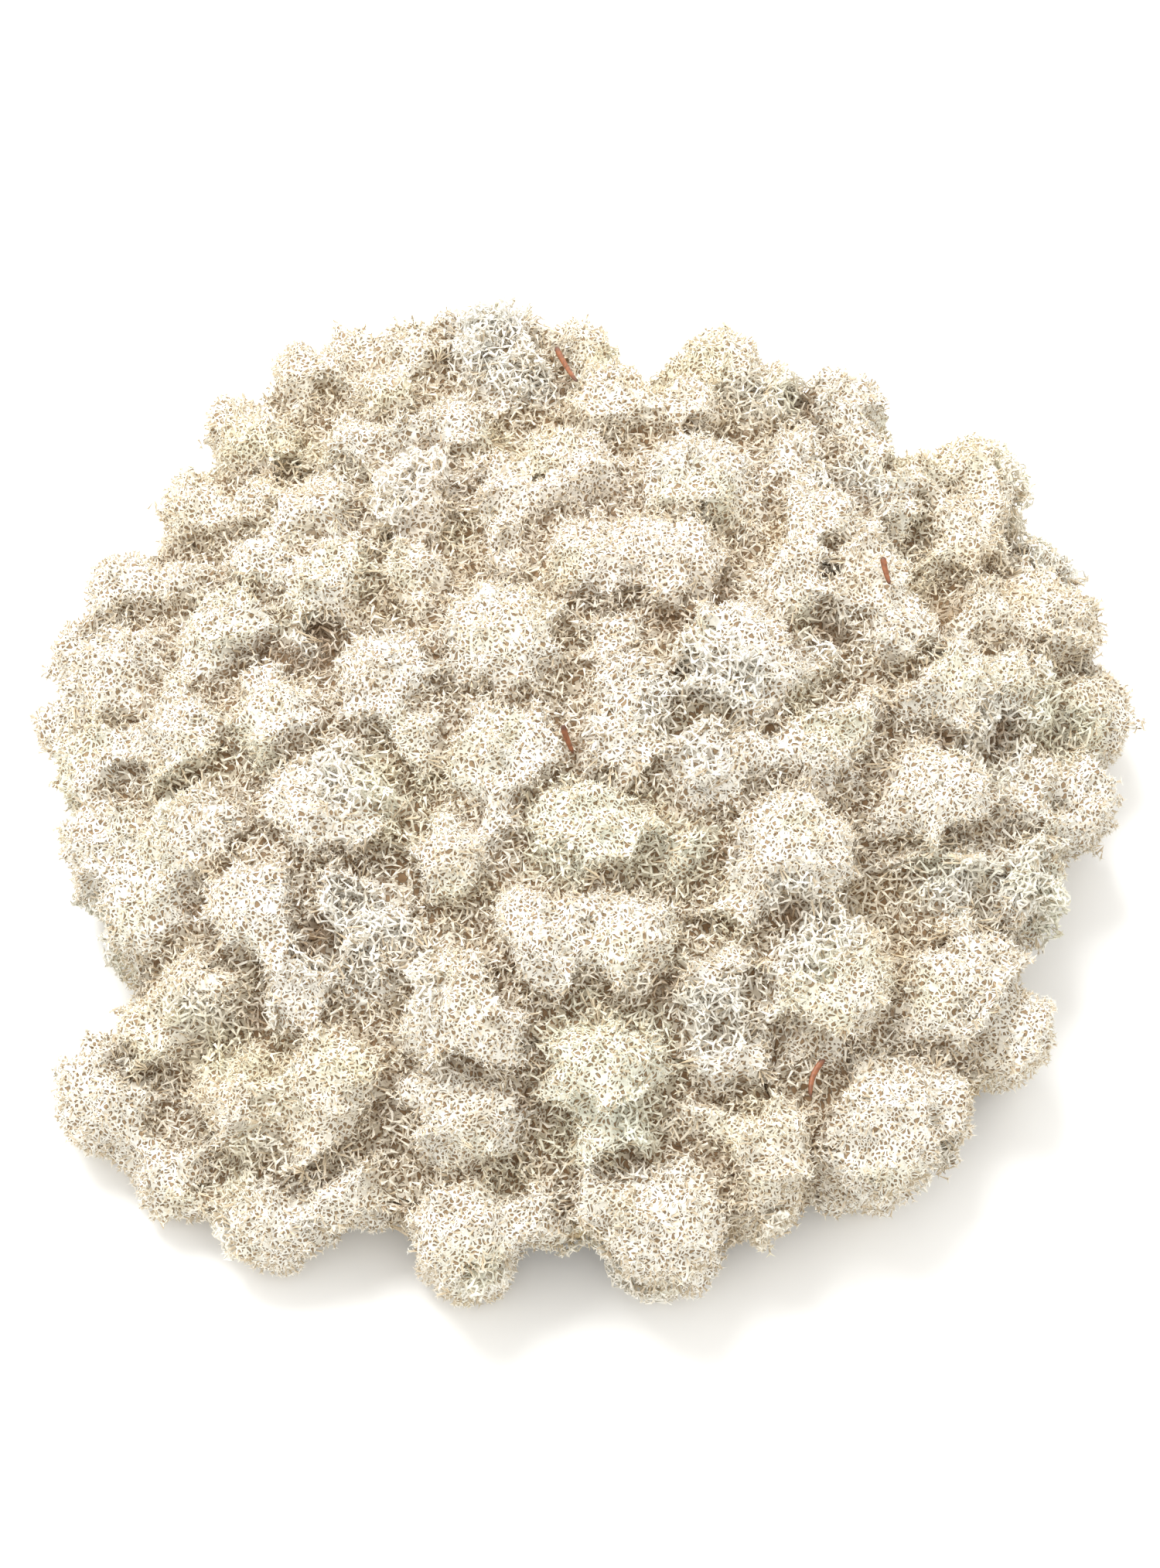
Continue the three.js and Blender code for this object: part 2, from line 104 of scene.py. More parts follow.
class LichenGrowth(PropertyGroup):
    gape: share("Gape", "How wide the closed cushions' mouths are everywhere", 0.0)
    open_gape: share("Open gape", "The same, for the cushions that have opened up", 0.7)
    gaping_patches: share("Gaping patches", "How much wider the mouths are in patches", 0.7)
    patch_size: length("Patch size", "From one gaping patch to the next", 34)
    gaping_flanks: share("Gaping flanks", "How much wider the mouths are in the valleys between heads", 0.5)
    lump_size: length("Lump size", "From one lump of a head to the next", 12)
    lump_height: length("Lump height", "From a lump's top down to the deepest crease", 2)
    # The dark pockets are painted shade in the valleys between heads.
    pocket_size: length("Pocket size", "From one dark pocket to the next", 17)
    relief: amount("Relief", "How many times the height of the heads over the valleys is added", 2.7)
    tip_spacing: length("Tip spacing", "From one star tuft to the next", 1.75)
    tuft_width: length("Tuft width", "From a tuft's middle to its tips", 1.2)
    stem_length: length("Stem length", "The most that shows of a tuft's stem", 3.0)
    mouth_spacing: length("Mouth spacing", "From one funnel to the next", 4.4)
    closed_mouth: share("Closed mouth", "Radius of a closed mouth, as a share of the mouth spacing", 0.30)
    wide_mouth: share("Wide mouth", "The same where a cushion gapes", 0.50)
    fork_depth: length("Fork depth", "From the skin down to the forks", 3.0)
    fork_sink: length("Fork sink", "How much deeper the forks lie where a cushion gapes", 5.0)
    strand_width: length("Strand width", "Half the thickness of the net's strands", 0.36)
    strand_length: length("Strand length", "The longest strand that the nets keep", 6.5)
    broken_strands: share("Broken strands", "Share of the nets' strands that have broken off", 0.12)
    deep_net: length("Deep net", "From the skin down to the second net", 3.6)
    core_depth: length("Core depth", "From the skin down to the tangle that fills a cushion", 1.3)
    core_sink: length("Core sink", "How much deeper the tangle lies where a cushion gapes", 4.5)
    core_thickness: length("Core thickness", "From the tangle's outside to its lining", 4)
    seed: IntProperty(name="Seed", description="Changes every random draw", default=7, min=0)


class LichenColours(PropertyGroup):
    ivory: colour("Ivory", "Branch tips of the palest cushions", (0.855, 0.85, 0.80))
    cream: colour("Cream", "Branch tips of most cushions", (0.85, 0.84, 0.78))
    buff: colour("Buff", "Branch tips of the older cushions", (0.84, 0.815, 0.73))
    rose: colour("Rose", "Branch tips of the pinkish cushions", (0.85, 0.825, 0.765))
    grey: colour("Grey", "Branch tips of the greyer cushions", (0.82, 0.815, 0.76))
    green: colour("Green", "Branch tips of the cushions that are still a little green", (0.83, 0.85, 0.75))
    stem: colour("Stem", "The stems some millimetres under the tips", (0.57, 0.46, 0.31))
    # The heart's colour is also the painted shade in pockets, in the net's holes and in enclosed crevices.
    heart: colour("Heart", "The dead tangle inside", (0.25, 0.16, 0.088))


class NeedleSettings(PropertyGroup):
    rings: IntProperty(name="Rings", description="Steps along a needle", default=28, min=4)
    sides: IntProperty(name="Sides", description="Steps round a needle", default=12, min=6)
    groove: share("Groove", "Depth of the groove along its flat side, as a share of its thickness", 0.22)
    bark: colour("Needle", "The needle's main colour", (0.28, 0.095, 0.035))
    dark: colour("Needle ends", "The needle's burnt ends", (0.09, 0.035, 0.018))


class StageSettings(PropertyGroup):
    floor_size: length("Floor size", "Edge of the floor", 6000)
    floor: colour("Floor", "The floor's colour", (0.90, 0.90, 0.89))
    distance: length("Distance", "From the camera to what it looks at", 900)
    elevation: amount("Elevation", "How steeply the camera looks down", math.radians(63), subtype="ANGLE")
    key: amount("Key light", "Power of the large soft light", 24, subtype="POWER")
    fill: amount("Fill light", "Strength of the pale surroundings", 1.3)


# ---- Meshes ----

SAME = 0.001 * MM  # corners this close are one


def vectors(items, field):
    """A vector of every item, as the rows of an array."""
    flat = np.empty(len(items) * 3, np.float32)
    items.foreach_get(field, flat)
    return flat.reshape(-1, 3)


def positions(mesh):
    return vectors(mesh.vertices, "co")


def put_object(name, data):
    made = bpy.data.objects.new(name, data)
    bpy.context.scene.collection.objects.link(made)
    return made


def write_attribute(mesh, name, values, kind="FLOAT", domain="POINT"):
    field = "vector" if kind == "FLOAT_VECTOR" else "value"
    mesh.attributes.new(name, kind, domain).data.foreach_set(field, np.asarray(values, np.float32))


def merged_copy(*meshes):
    """The meshes as one, with loose triangles joined at their corners."""
    mesh = bpy.data.meshes.new("copy")
    joined = bmesh.new()
    for part in meshes:
        joined.from_mesh(part)
    bmesh.ops.remove_doubles(joined, verts=joined.verts, dist=SAME)
    joined.to_mesh(mesh)
    joined.free()
    return mesh


def discard(*things):
    for thing in things:
        mesh = thing.data
        bpy.data.objects.remove(thing)
        bpy.data.meshes.remove(mesh)


def evaluated_mesh(maker):
    """What an object looks like with its modifiers, as a plain mesh."""
    bpy.context.view_layer.update()
    return bpy.data.meshes.new_from_object(maker.evaluated_get(bpy.context.evaluated_depsgraph_get()))


# ---- Skins: the smoothed surface of the whole heap, in one patch for each cushion ----

SKIN_STEP = 2.4 * MM
UNDERLAY_STEP = 3.0 * MM
UNDERLAY_DEPTH = 1.7 * MM  # how far under the heads the gaps between them are closed
CLOSING = 8 * MM  # half the width of the widest gap that is closed
SMOOTHING = 0.5  # how far one round of smoothing moves a corner to the middle of its neighbours
ROUNDING = 6  # rounds of smoothing that take the facets away
SPREADING = 30  # more rounds of smoothing, which leave only the heap's broad form
LOOK = 16 * MM  # a place is in the open if nothing stands this close to it
LIFT = 0.6 * MM  # where a look starts, above the skin
LOOKS = 22
LOOKS_FALL = 1.3  # from straight up to the lowest look, as a height on a ball of radius 1
GRAZING = 0.15  # a look that rises less than this from the skin isn't taken
SKY = 0.5  # a look that meets nothing this far away has left the heap
BEYOND = 3  # rings of faces that are kept past those from which a look leaves the heap


def looks():
    """Ways to look, evenly all round above a slant a little below level."""
    golden = math.pi * (3 - math.sqrt(5))
    heights = [1 - LOOKS_FALL * (i + 0.5) / LOOKS for i in range(LOOKS)]
    radii = [math.sqrt(1 - z * z) for z in heights]
    return [
        Vector((radius * math.cos(i * golden), radius * math.sin(i * golden), z))
        for i, (radius, z) in enumerate(zip(radii, heights))
    ]


def cushion_nodes():
    return [node for node in sorted(frame["nodes"]) if node.startswith("cushion")]


def reshaped(mesh, *steps):
    """The mesh after some modifiers, each a kind and its settings. The mesh itself is removed."""
    maker = put_object("reshaping", mesh)
    for kind, settings in steps:
        modifier = maker.modifiers.new(kind, kind)
        for name, value in settings.items():
            setattr(modifier, name, value)
    result = evaluated_mesh(maker)
    discard(maker)
    return result


def in_steps(size):
    return "REMESH", {"mode": "VOXEL", "voxel_size": size}


def moved_out(distance):
    return "DISPLACE", {"strength": distance, "mid_level": 0}


def smoothed(rounds):
    return "SMOOTH", {"factor": SMOOTHING, "iterations": rounds}


@functools.lru_cache(maxsize=None)
def heap_forms():
    """The heap's skin in even steps, and the same with all but its broad form smoothed away.

    The skin is that of the cushions and of an underlay, which closes the gaps between them some way down.
    """
    cushions = [frame["nodes"][node].data for node in cushion_nodes()]
    underlay = reshaped(merged_copy(*cushions), in_steps(UNDERLAY_STEP), moved_out(CLOSING),
                        in_steps(UNDERLAY_STEP), moved_out(-CLOSING - UNDERLAY_DEPTH))
    skin = reshaped(merged_copy(*cushions, underlay), in_steps(SKIN_STEP), smoothed(ROUNDING))
    bpy.data.meshes.remove(underlay)
    return skin, reshaped(skin.copy(), smoothed(SPREADING))


def openness(point, normal, barrier, ways):
    """The share of its surroundings that a place finds free, and none where no look leaves the heap."""
    free = total = 0.0
    leaves = False
    for way in ways:
        facing = way.dot(normal)
        if facing < GRAZING:
            continue
        total += facing
        if point.z + LOOK * way.z < 0:
            continue
        far = barrier.ray_cast(point + normal * LIFT, way, LOOK if leaves else SKY)[3]
        if far is None or far > LOOK:
            free += facing
        leaves = leaves or far is None
    return free / total if leaves else 0.0


def owners(points):
    """The cushion whose CAD solid is nearest to each point."""
    corners, faces, names = [], [], []
    for node in cushion_nodes():
        mesh = frame["nodes"][node].data
        start = len(corners)
        corners += [vertex.co for vertex in mesh.vertices]
        faces += [[start + i for i in face.vertices] for face in mesh.polygons]
        names += [node] * len(mesh.polygons)
    tree = BVHTree.FromPolygons(corners, faces)
    return [names[tree.find_nearest(point)[2]] for point in points]


def patch_mesh(node, patch, corners, attributes):
    """A cushion's patch of the skin as a flat bag: the patch, the same again as its lining, and a rim.

    Where the patch meets itself at a corner only, each side gets a vertex of its own.
    """
    same = {}

    def first(corner):
        while same.setdefault(corner, corner) != corner:
            corner = same[corner]
        return corner

    sides = {(a, b): face for face in patch for a, b in zip(face, face[1:] + face[:1])}
    for (a, b), face in sides.items():
        beside = sides.get((b, a))
        if beside:
            same[first((face, a))] = first((beside, a))
    number = {}
    faces = [[number.setdefault(first((face, corner)), len(number)) for corner in face] for face in patch]
    edge = [(number[first((face, b))], number[first((face, a))])
            for (a, b), face in sides.items() if (b, a) not in sides]
    used, count = [corner for _, corner in number], len(number)
    lining = [[corner + count for corner in reversed(face)] for face in faces]
    rim = [(a, b, b + count, a + count) for a, b in edge]
    near = KDTree(len(edge))
    for index, (corner, _) in enumerate(edge):
        near.insert(corners[used[corner]], index)
    near.balance()

    mesh = bpy.data.meshes.new(node + "_skin")
    mesh.from_pydata([*corners[used].tolist()] * 2, [], faces + lining + rim)
    attributes = {
        **{name: values[used] for name, values in attributes.items()},
        "inside": np.array([near.find(corners[corner])[2] for corner in used]),
    }
    for name, values in attributes.items():
        kind = "FLOAT" if values.ndim == 1 else "FLOAT_VECTOR"
        write_attribute(mesh, name, np.tile(values.ravel(), 2), kind)
    write_attribute(mesh, "lining", [0] * count + [1] * count)
    write_attribute(mesh, "grows", [1] * len(faces) + [0] * (len(lining) + len(rim)), domain="FACE")
    return mesh


@functools.lru_cache(maxsize=None)
def skins():
    """The heap's skin as a mesh for each cushion, without what is never seen.

    Its attributes are air, how open a place is, outward, the way out of the heap there, relief, how far it
    stands out of the heap's broad form, and inside, how far it is from the cushion's rim. Lining is 1 on the
    bag's inner side, and grows is 1 on the faces of its outer side.
    """
    heap, broad = heap_forms()
    corners, outward = positions(heap), vectors(heap.vertex_normals, "vector")
    faces = [tuple(face.vertices) for face in heap.polygons]
    middles = [face.center.copy() for face in heap.polygons]
    relief = ((corners - positions(broad)) * outward).sum(axis=1)
    barrier, ways = BVHTree.FromPolygons(corners.tolist(), faces), looks()
    air = np.array([openness(Vector(co), Vector(out), barrier, ways) for co, out in zip(corners, outward)])

    seen, quads = air > 0, np.array(faces)
    for _ in range(BEYOND):
        seen[quads[seen[quads].any(axis=1)]] = True
    patches = {node: [] for node in cushion_nodes()}
    for face, owner in zip(faces, owners(middles)):
        if seen[list(face)].all():
            patches[owner].append(face)
    attributes = {"air": air, "outward": outward, "relief": relief}
    return {node: patch_mesh(node, patch, corners, attributes) for node, patch in patches.items()}


# ---- Small repeated shapes ----

TUFT_SHAPES = 8
TUFT_SEED = 40
TUFT_ARMS = (4, 3, 4, 3)  # how many arms one tuft has, the next one, and so on
ARM_STRAY = 0.18  # how far an arm turns out of its even place, as a share of the space between two
ARM_LENGTH = (0.7, 1.3)  # the shortest and the longest, as a share of the tuft's width
ARM_RISE = (0.0, 0.16)  # the least and the most, as a share of the stem's length
COLLAR_WIDTH = 0.28  # radius where a tuft's arms leave its stem, as a share of the tuft's width
COLLAR_HEIGHT, MIDDLE_HEIGHT = -0.10, -0.02  # of the collar and the star's middle, in stem lengths

# What reach says of a corner, from 0 deep inside to 1 at a tip. It chooses the colour there.
FOOT_REACH, COLLAR_REACH, MIDDLE_REACH, TIP_REACH, STRAND_REACH = 0.2, 0.5, 0.6, 1.0, 0.8


def tuft_mesh(index):
    """A stem from z = -1 up to a collar just under z = 0, and the arms of a star that spread from it."""
    draw = np.random.default_rng(TUFT_SEED + index)
    arms = TUFT_ARMS[index % len(TUFT_ARMS)]
    turns = (np.arange(arms) + draw.uniform(-ARM_STRAY, ARM_STRAY, arms)) * 2 * math.pi / arms
    collar = [(COLLAR_WIDTH * math.cos(a), COLLAR_WIDTH * math.sin(a), COLLAR_HEIGHT) for a in turns]
    tips = []
    for i in range(arms):
        middle = (turns[i] + (turns[i + 1] if i + 1 < arms else turns[0] + 2 * math.pi)) / 2
        reach = draw.uniform(*ARM_LENGTH)
        tips.append((reach * math.cos(middle), reach * math.sin(middle), draw.uniform(*ARM_RISE)))
    corners = [(0, 0, -1), (0, 0, MIDDLE_HEIGHT), *collar, *tips]
    faces = []
    for i in range(arms):
        here, after, tip = 2 + i, 2 + (i + 1) % arms, 2 + arms + i
        faces += [(0, after, here), (here, after, tip), (after, 1, tip), (1, here, tip)]
    mesh = bpy.data.meshes.new(f"tuft_{index}")
    mesh.from_pydata(corners, [], faces)
    write_attribute(mesh, "reach", [FOOT_REACH, MIDDLE_REACH] + [COLLAR_REACH] * arms + [TIP_REACH] * arms)
    return mesh


def strand_mesh():
    """A slim wedge from z = -1 to z = 0, whose two end edges of radius 1 stand crosswise."""
    corners = [(-1, 0, -1), (1, 0, -1), (0, -1, 0), (0, 1, 0)]
    mesh = bpy.data.meshes.new("strand")
    mesh.from_pydata(corners, [], [(0, 1, 2), (1, 0, 3), (2, 3, 0), (3, 2, 1)])
    write_attribute(mesh, "reach", [STRAND_REACH] * len(corners))
    return mesh


# ---- Node trees ----


def socket_of(sockets, key):
    return sockets[key] if isinstance(key, int) else next(s for s in sockets if s.name == key and s.enabled)


class Wiring:
    """Adds nodes to a tree. An input is a plain value or the socket that feeds it."""

    def __init__(self, tree):
        self.tree = tree

    def add(self, kind, inputs=None, output=0, **settings):
        """Adds a node and gives back one of its outputs, or with None the node itself."""
        node = self.tree.nodes.new(kind)
        for name, value in settings.items():
            setattr(node, name, value)
        for key, value in (inputs or {}).items():
            socket = socket_of(node.inputs, key)
            if isinstance(value, NodeSocket):
                self.tree.links.new(value, socket)
            else:
                socket.default_value = value
        if output is None:
            return node
        return next(s for s in node.outputs if s.enabled) if output == 0 else socket_of(node.outputs, output)

    def math(self, operation, *values):
        return self.add("ShaderNodeMath", dict(enumerate(values)), operation=operation)

    def vector(self, operation, a, b):
        """Vector arithmetic; SCALE takes a number as b."""
        key = "Scale" if operation == "SCALE" else 1
        return self.add("ShaderNodeVectorMath", {0: a, key: b}, operation=operation)

    def size(self, a):
        return self.add("ShaderNodeVectorMath", {0: a}, output="Value", operation="LENGTH")

    def ramp(self, value, low, high):
        """A smooth rise from 0 where the value is low to 1 where it is high."""
        inputs = {"Value": value, "From Min": low, "From Max": high}
        return self.add("ShaderNodeMapRange", inputs, interpolation_type="SMOOTHSTEP")

    def mix(self, factor, a, b, blend="MIX"):
        return self.add("ShaderNodeMix", {0: factor, "A": a, "B": b}, data_type="RGBA", blend_type=blend)

    def random(self, least, most, seed):
        inputs = {"Min": least, "Max": most, "Seed": seed}
        return self.add("FunctionNodeRandomValue", inputs, data_type="FLOAT")

    def named(self, name, kind="FLOAT"):
        return self.add("GeometryNodeInputNamedAttribute", {"Name": name}, data_type=kind)

    def store(self, geometry, name, value, kind="FLOAT", domain="POINT"):
        inputs = {"Geometry": geometry, "Name": name, "Value": value}
        return self.add("GeometryNodeStoreNamedAttribute", inputs, data_type=kind, domain=domain)

    def sample(self, geometry, value, index, kind="FLOAT_VECTOR"):
        inputs = {"Geometry": geometry, "Value": value, "Index": index}
        return self.add("GeometryNodeSampleIndex", inputs, data_type=kind)

    def join(self, *parts):
        node = self.add("GeometryNodeJoinGeometry", output=None)
        for part in parts:
            self.tree.links.new(part, node.inputs[0])
        return node.outputs[0]


def new_tree(name, sockets):
    """A geometry tree with its own input and output, and one more input of the given kind for each name."""
    tree = bpy.data.node_groups.new(name, "GeometryNodeTree")
    tree.interface.new_socket("Geometry", in_out="INPUT", socket_type="NodeSocketGeometry")
    for socket_name, kind in sockets.items():
        tree.interface.new_socket(socket_name, in_out="INPUT", socket_type="NodeSocket" + kind)
    tree.interface.new_socket("Geometry", in_out="OUTPUT", socket_type="NodeSocketGeometry")
    return tree


def titled(setting):
    """What a growth setting is called as an input, such as Patch Size for patch_size."""
    return setting.replace("_", " ").title()


# The growth settings that the tree takes just as they are
TAKEN = [name for name in LichenGrowth.__annotations__ if name not in ("gape", "open_gape", "seed")]
CUSHION_INPUTS = {
    "Tufts": "Collection",
    "Strand": "Object",
    "Gape": "Float",
    **{titled(name): "Float" for name in TAKEN},
    "Seed": "Int",
    "Material": "Material",
}

HEAD_TO_VALLEY = (-0.4 * MM, -1.0 * MM)  # relief where a head's top ends and where a valley is in full
HEAD_TOP, VALLEY_FLOOR = 0.8 * MM, -0.8 * MM  # relief that stays where it is, and the least that counts
SEAM_WIDTH, SEAM_MIDDLE = 3.4 * MM, 0.4 * MM  # from a cushion's rim to where its seam ends and is in full
SEAM_RELIEF = (0.6 * MM, -0.2 * MM)  # relief where it begins and is in full: a head's top has no seam
SEAM_DEPTH = 0.7 * MM  # how much deeper a seam in full lies, before the relief is drawn out
OPENING = 9 * MM  # from the rim of an open cushion to where it gapes in full
LOW = 25 * MM  # below this height the valleys are shallower
LUMP_SMOOTHNESS = 0.1
SOFT_NOISE = 1.0  # detail of a noise without fine grain
PATCH_CLOUD = (0.53, 0.68)  # where in the noise a gaping patch begins and is in full
POCKET_CLOUD = (0.61, 0.70)  # the same for a dark pocket of painted shade
FLANK_VALLEY = (0.3, 0.95)  # valley where a head's flank begins to gape and gapes in full
POCKET_VALLEY = (0.5, 1.0)  # the same for the pockets of painted shade

CROWDING = 4.0  # candidates for each point that a scatter keeps
THINNING = 0.85  # share of the candidates that fall away where a cushion gapes in full
MOUTH_AIR, TUFT_AIR = 0.03, 0.0  # air up to which there are no mouths and no tufts
AIR_EDGE = 0.08  # from there to the air where they stand as close as anywhere
MOUTH_SIZES = (0.55, 1.3)  # the smallest and the largest, as shares of what the settings give
FORK_SINKS = (-1.3, -0.7)  # the deepest and the shallowest, in the same way
TUFT_SIZES = (0.8, 1.2)
STRAND_SIZES = (0.7, 1.3)
TUFT_RISE = (-0.45, 0.35)  # how far a tuft stands out of the skin, as a share of its width
PUSHING = 0.33  # how much of its way from a mouth's middle a tuft keeps outside the mouth
GAPING_STEM = 4 * MM  # how much more of a stem shows where a cushion gapes in full
STRAY = 1.1 * MM  # how far the corners of a net stray
NET_GAPE, DEEP_NET_GAPE = 0.4, 0.6  # the least gape over which the first and the second net lie
SHOWING_AIR = (0.02, 0.2)  # air where gaping begins to show and shows in full

# A step of the seed for each random draw. A net also takes the four after its own.
SEED_STRIDE = 31.0
MOUTH_DRAW, FORK_DRAW, MOUTH_SIZE_DRAW = 1, 2, 5
TUFT_DRAW, TUFT_RISE_DRAW, TUFT_SIZE_DRAW, TUFT_SHAPE_DRAW, TUFT_TURN_DRAW = 6, 7, 8, 9, 10
NET_DRAW, DEEP_NET_DRAW = 20, 30
TINT_DRAW = 50


class CushionTree:
    """The tree that grows one cushion on its skin."""

    def __init__(self):
        self.tree = new_tree("Lichen cushion", CUSHION_INPUTS)
        self.w = w = Wiring(self.tree)
        entry = w.add("NodeGroupInput", output=None)
        self.given = {s.name: s for s in entry.outputs}
        self.place = w.add("GeometryNodeInputPosition")
        skin = self.prepared(self.given["Geometry"])

        mouths, normal = self.scatter(skin, "Mouth Spacing", MOUTH_DRAW, MOUTH_AIR)
        mouths = w.store(mouths, "mouth", self.mouth_radius())
        forks = self.sunk(mouths, normal, self.deepened("Fork Depth", "Fork Sink"))
        parts = [
            self.tips(skin, mouths, forks),
            self.net(skin, 0.0, NET_GAPE, NET_DRAW),
            self.net(skin, self.given["Deep Net"], DEEP_NET_GAPE, DEEP_NET_DRAW),
            self.core(skin),
        ]
        grown = w.add("GeometryNodeRealizeInstances", {0: w.join(*parts)})
        dressed = w.add("GeometryNodeSetMaterial", {"Geometry": grown, "Material": self.given["Material"]})
        self.tree.links.new(dressed, w.add("NodeGroupOutput", output=None).inputs[0])

    def seed(self, step):
        return self.w.math("ADD", self.w.math("MULTIPLY", self.given["Seed"], SEED_STRIDE), float(step))

    def random(self, least, most, step):
        return self.w.random(least, most, self.seed(step))

    def cloud(self, size):
        """Soft noise from 0 to 1, with this far from one patch to the next."""
        scale = self.w.math("DIVIDE", 1.0, self.given[size])
        inputs = {"Vector": self.place, "Scale": scale, "Detail": SOFT_NOISE}
        return self.w.add("ShaderNodeTexNoise", inputs, output="Fac")

    def inward(self, depth):
        outward = self.w.named("outward", "FLOAT_VECTOR")
        return self.w.vector("SCALE", outward, self.w.math("MULTIPLY", depth, -1.0))

    def moved(self, geometry, **how):
        """The geometry after a move by Offset, from Position if that is given."""
        return self.w.add("GeometryNodeSetPosition", {"Geometry": geometry, **how})

    def compared(self, value, relation, limit):
        return self.w.add("FunctionNodeCompare", {"A": value, "B": limit}, operation=relation)

    def prepared(self, skin):
        """The skin with lumps and deeper valleys, and valley, gape and pocket as attributes from 0 to 1."""
        w, given = self.w, self.given
        relief = w.named("relief")
        seam = w.ramp(w.named("inside"), SEAM_WIDTH, SEAM_MIDDLE)
        seam = w.math("MULTIPLY", seam, w.ramp(relief, *SEAM_RELIEF))
        skin = w.store(skin, "valley", w.math("MAXIMUM", seam, w.ramp(relief, *HEAD_TO_VALLEY)))
        valley = w.named("valley")
        patch = w.math("MULTIPLY", w.ramp(self.cloud("Patch Size"), *PATCH_CLOUD), given["Gaping Patches"])
        flank = w.math("MULTIPLY", w.ramp(valley, *FLANK_VALLEY), given["Gaping Flanks"])
        own = w.math("MULTIPLY", w.ramp(w.named("inside"), 0.0, OPENING), given["Gape"])
        skin = w.store(skin, "gape", w.math("MAXIMUM", w.math("MAXIMUM", patch, flank), own))
        # Pocket: dark patches in the valleys, where the material paints shade.
        pocket = w.ramp(self.cloud("Pocket Size"), *POCKET_CLOUD)
        skin = w.store(skin, "pocket", w.math("MULTIPLY", pocket, w.ramp(valley, *POCKET_VALLEY)))

        lump = w.add("ShaderNodeTexVoronoi", {
            "Vector": self.place,
            "Scale": w.math("DIVIDE", 1.0, given["Lump Size"]),
            "Smoothness": LUMP_SMOOTHNESS,
        }, output="Distance", feature="SMOOTH_F1")
        crease = w.math("MULTIPLY", w.math("MULTIPLY", lump, lump), given["Lump Height"])
        height = w.add("ShaderNodeSeparateXYZ", {0: self.place}, output="Z")
        free = w.math("MINIMUM", w.math("DIVIDE", height, LOW), 1.0)
        level = w.math("MULTIPLY_ADD", seam, SEAM_DEPTH, HEAD_TOP)
        below = w.math("SUBTRACT", level, w.math("MAXIMUM", relief, VALLEY_FLOOR))
        drop = w.math("MULTIPLY", w.math("MULTIPLY", below, free), given["Relief"])
        return self.moved(skin, Offset=self.inward(w.math("ADD", crease, drop)))

    def deepened(self, depth, sink):
        """A depth below the skin, and more of it where the cushion gapes."""
        return self.w.math("MULTIPLY_ADD", self.w.named("gape"), self.given[sink], self.given[depth])

    def scatter(self, skin, spacing, step, least_air):
        """Points spread evenly over the skin where it is in the open, and the skin's normal there."""
        w, gap = self.w, self.given[spacing]
        dense = w.math("DIVIDE", CROWDING, w.math("MULTIPLY", gap, gap))
        bare = {"Value": w.named("air"), "From Min": least_air, "From Max": least_air + AIR_EDGE}
        thin = w.math("MULTIPLY_ADD", w.named("gape"), -THINNING, 1.0)
        inputs = {
            "Mesh": skin,
            "Selection": self.compared(w.named("grows"), "GREATER_THAN", 0.5),
            "Distance Min": gap,
            "Density Max": dense,
            "Density Factor": w.math("MULTIPLY", w.add("ShaderNodeMapRange", bare), thin),
            "Seed": self.seed(step),
        }
        node = w.add("GeometryNodeDistributePointsOnFaces", inputs, output=None, distribute_method="POISSON")
        points = w.store(node.outputs["Points"], "tint", self.random(0.0, 1.0, step + TINT_DRAW))
        return points, node.outputs["Normal"]

    def showing(self):
        """How much a place gapes, and less where its neighbours leave it no air."""
        return self.w.math("MULTIPLY", self.w.named("gape"), self.w.ramp(self.w.named("air"), *SHOWING_AIR))

    def without(self, points, relation, value, limit):
        """The points but for those whose value is below or above a limit."""
        chosen = self.compared(value, relation, limit)
        return self.w.add("GeometryNodeDeleteGeometry", {"Geometry": points, "Selection": chosen})

    def mouth_radius(self):
        w, given = self.w, self.given
        widening = {"Value": w.named("gape"), "To Min": given["Closed Mouth"], "To Max": given["Wide Mouth"]}
        radius = w.math("MULTIPLY", given["Mouth Spacing"], w.add("ShaderNodeMapRange", widening))
        return w.math("MULTIPLY", radius, self.random(*MOUTH_SIZES, MOUTH_SIZE_DRAW))

    def sunk(self, points, normal, depth):
        """The same points, moved into the cushion."""
        down = self.w.math("MULTIPLY", depth, self.random(*FORK_SINKS, FORK_DRAW))
        return self.moved(points, Offset=self.w.vector("SCALE", normal, down))

    def towards(self, away, twist):
        """A turn that lays the z axis along a way, after a twist about it."""
        spin = self.w.add("FunctionNodeAxisAngleToRotation", {"Axis": (0, 0, 1), "Angle": twist})
        aim = self.w.add("FunctionNodeAlignRotationToVector", {"Vector": away}, axis="Z")
        turn = {"Rotation": aim, "Rotate By": spin}
        return self.w.add("FunctionNodeRotateRotation", turn, rotation_space="LOCAL")

    def tips(self, skin, mouths, forks):
        """Star tufts round the mouths, each on a stem from the nearest fork."""
        w, place = self.w, self.place
        points, normal = self.scatter(skin, "Tip Spacing", TUFT_DRAW, TUFT_AIR)
        index = w.add("GeometryNodeSampleNearest", {"Geometry": mouths, "Sample Position": place})
        mouth = w.sample(mouths, place, index)
        radius = w.sample(mouths, w.named("mouth"), index, "FLOAT")
        aside = w.vector("SUBTRACT", place, mouth)
        pushed = w.math("MAXIMUM", w.size(aside), w.math("MULTIPLY_ADD", w.size(aside), PUSHING, radius))
        shifted = w.vector("ADD", mouth, w.vector("SCALE", w.vector("NORMALIZE", aside, (0, 0, 0)), pushed))
        rise = w.math("MULTIPLY", self.random(*TUFT_RISE, TUFT_RISE_DRAW), self.given["Tuft Width"])
        points = w.store(points, "fork", w.sample(forks, place, index), "FLOAT_VECTOR")
        points = self.moved(points, Position=shifted, Offset=w.vector("SCALE", normal, rise))

